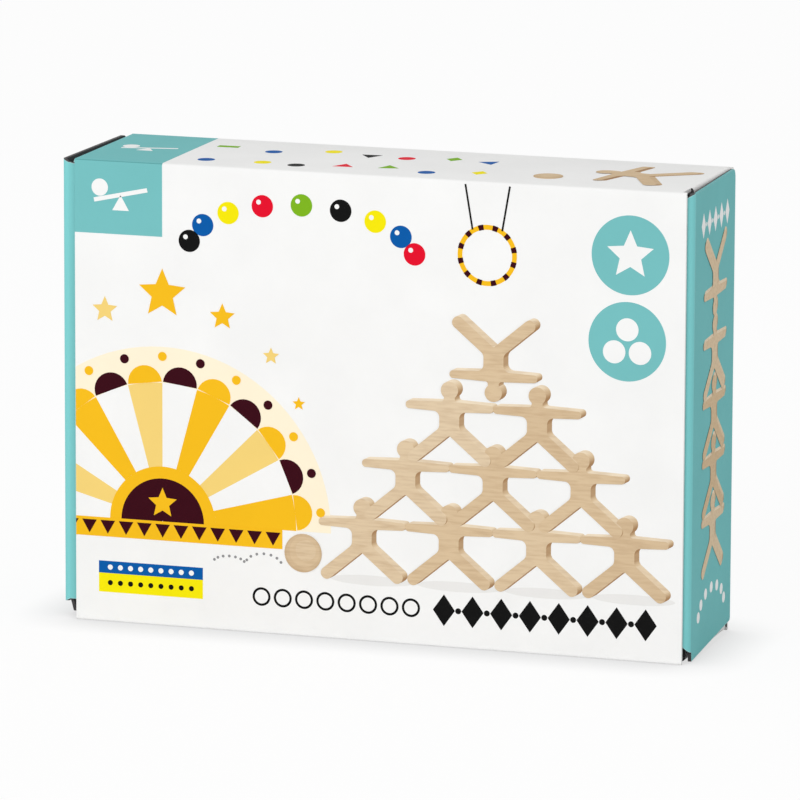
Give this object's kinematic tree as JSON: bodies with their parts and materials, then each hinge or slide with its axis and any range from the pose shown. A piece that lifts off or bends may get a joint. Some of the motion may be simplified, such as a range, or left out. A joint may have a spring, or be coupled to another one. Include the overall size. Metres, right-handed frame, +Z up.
{
  "type": "boxed balancing game",
  "caption": "Upright tuck-end carton for an acrobat balancing game, with hinged end flaps and loose flat wooden acrobats and a wooden ball inside.",
  "frame": {"origin": "middle of the carton's underside", "axes": "+X along the carton's length to the right of its printed front, -Y out of the printed front, +Z up"},
  "size_m": [0.269, 0.07, 0.193],
  "materials": {
    "printed_card": "white printed board with a matt laminate",
    "teal_card": "teal printed board with a matt laminate",
    "plain_card": "unprinted charcoal board",
    "beech": "bare sanded beech"
  },
  "bodies": {
    "carton": {"front_panel": "printed_card", "back_panel": "printed_card", "top_panel": "printed_card", "bottom_panel": "printed_card", "glue_flap": "plain_card"},
    "right_tuck_flap": {"right_tuck_flap": "teal_card"},
    "right_tuck_lip": {"right_tuck_lip": "teal_card"},
    "right_top_dust_flap": {"right_top_dust_flap": "printed_card"},
    "right_bottom_dust_flap": {"right_bottom_dust_flap": "printed_card"},
    "left_tuck_flap": {"left_tuck_flap": "teal_card"},
    "left_tuck_lip": {"left_tuck_lip": "teal_card"},
    "left_top_dust_flap": {"left_top_dust_flap": "printed_card"},
    "left_bottom_dust_flap": {"left_bottom_dust_flap": "printed_card"},
    "acrobat_lower_1": {"acrobat_lower_1": "beech"},
    "acrobat_upper_1": {"acrobat_upper_1": "beech"},
    "acrobat_lower_2": {"acrobat_lower_2": "beech"},
    "acrobat_upper_2": {"acrobat_upper_2": "beech"},
    "acrobat_lower_3": {"acrobat_lower_3": "beech"},
    "acrobat_upper_3": {"acrobat_upper_3": "beech"},
    "acrobat_lower_4": {"acrobat_lower_4": "beech"},
    "acrobat_upper_4": {"acrobat_upper_4": "beech"},
    "acrobat_lower_5": {"acrobat_lower_5": "beech"},
    "acrobat_upper_5": {"acrobat_upper_5": "beech"},
    "ball": {"ball": "beech"}
  },
  "joints": [
    {"name": "right_flap_open", "type": "hinge", "parent": "carton", "child": "right_tuck_flap", "pos_m": [0.1312, 0.035, 0.0965], "axis": [0, 0, 1], "range_deg": [0, 180]},
    {"name": "right_lip_relax", "type": "hinge", "parent": "right_tuck_flap", "child": "right_tuck_lip", "pos_m": [0.13256, -0.02979, 0.0965], "axis": [0, 0, 1], "range_deg": [0, 45]},
    {"name": "right_top_dust_open", "type": "hinge", "parent": "carton", "child": "right_top_dust_flap", "pos_m": [0.1294, 0, 0.193], "axis": [0, -1, 0], "range_deg": [0, 90]},
    {"name": "right_bottom_dust_open", "type": "hinge", "parent": "carton", "child": "right_bottom_dust_flap", "pos_m": [0.1294, 0, 0], "axis": [0, 1, 0], "range_deg": [0, 90]},
    {"name": "left_flap_open", "type": "hinge", "parent": "carton", "child": "left_tuck_flap", "pos_m": [-0.1337, 0.035, 0.0965], "axis": [0, 0, -1], "range_deg": [0, 180]},
    {"name": "left_lip_relax", "type": "hinge", "parent": "left_tuck_flap", "child": "left_tuck_lip", "pos_m": [-0.13641, -0.02974, 0.0965], "axis": [0, 0, -1], "range_deg": [0, 45]},
    {"name": "left_top_dust_open", "type": "hinge", "parent": "carton", "child": "left_top_dust_flap", "pos_m": [-0.1308, 0, 0.193], "axis": [0, 1, 0], "range_deg": [0, 90]},
    {"name": "left_bottom_dust_open", "type": "hinge", "parent": "carton", "child": "left_bottom_dust_flap", "pos_m": [-0.1308, 0, 0], "axis": [0, -1, 0], "range_deg": [0, 90]},
    {"name": "acrobat_lower_1_slide", "type": "slide", "parent": "carton", "child": "acrobat_lower_1", "axis": [1, 0, 0], "range_m": [-0.08, 0]},
    {"name": "acrobat_upper_1_shift", "type": "slide", "parent": "acrobat_lower_1", "child": "acrobat_upper_1", "axis": [1, 0, 0], "range_m": [-0.006, 0.006]},
    {"name": "acrobat_lower_2_slide", "type": "slide", "parent": "carton", "child": "acrobat_lower_2", "axis": [1, 0, 0], "range_m": [-0.08, 0]},
    {"name": "acrobat_upper_2_shift", "type": "slide", "parent": "acrobat_lower_2", "child": "acrobat_upper_2", "axis": [1, 0, 0], "range_m": [-0.006, 0.006]},
    {"name": "acrobat_lower_3_slide", "type": "slide", "parent": "carton", "child": "acrobat_lower_3", "axis": [1, 0, 0], "range_m": [-0.08, 0]},
    {"name": "acrobat_upper_3_shift", "type": "slide", "parent": "acrobat_lower_3", "child": "acrobat_upper_3", "axis": [1, 0, 0], "range_m": [-0.006, 0.006]},
    {"name": "acrobat_lower_4_slide", "type": "slide", "parent": "carton", "child": "acrobat_lower_4", "axis": [1, 0, 0], "range_m": [-0.08, 0]},
    {"name": "acrobat_upper_4_shift", "type": "slide", "parent": "acrobat_lower_4", "child": "acrobat_upper_4", "axis": [1, 0, 0], "range_m": [-0.006, 0.006]},
    {"name": "acrobat_lower_5_slide", "type": "slide", "parent": "carton", "child": "acrobat_lower_5", "axis": [1, 0, 0], "range_m": [-0.08, 0]},
    {"name": "acrobat_upper_5_shift", "type": "slide", "parent": "acrobat_lower_5", "child": "acrobat_upper_5", "axis": [1, 0, 0], "range_m": [-0.006, 0.006]},
    {"name": "ball_roll", "type": "slide", "parent": "carton", "child": "ball", "axis": [1, 0, 0], "range_m": [0, 0.035]}
  ],
  "couplings": [
    {"joint": "right_lip_relax", "follows": "right_flap_open", "ratio": 0.25},
    {"joint": "right_top_dust_open", "follows": "right_flap_open", "ratio": 0.5},
    {"joint": "right_bottom_dust_open", "follows": "right_flap_open", "ratio": 0.5},
    {"joint": "left_lip_relax", "follows": "left_flap_open", "ratio": 0.25},
    {"joint": "left_top_dust_open", "follows": "left_flap_open", "ratio": 0.5},
    {"joint": "left_bottom_dust_open", "follows": "left_flap_open", "ratio": 0.5}
  ]
}
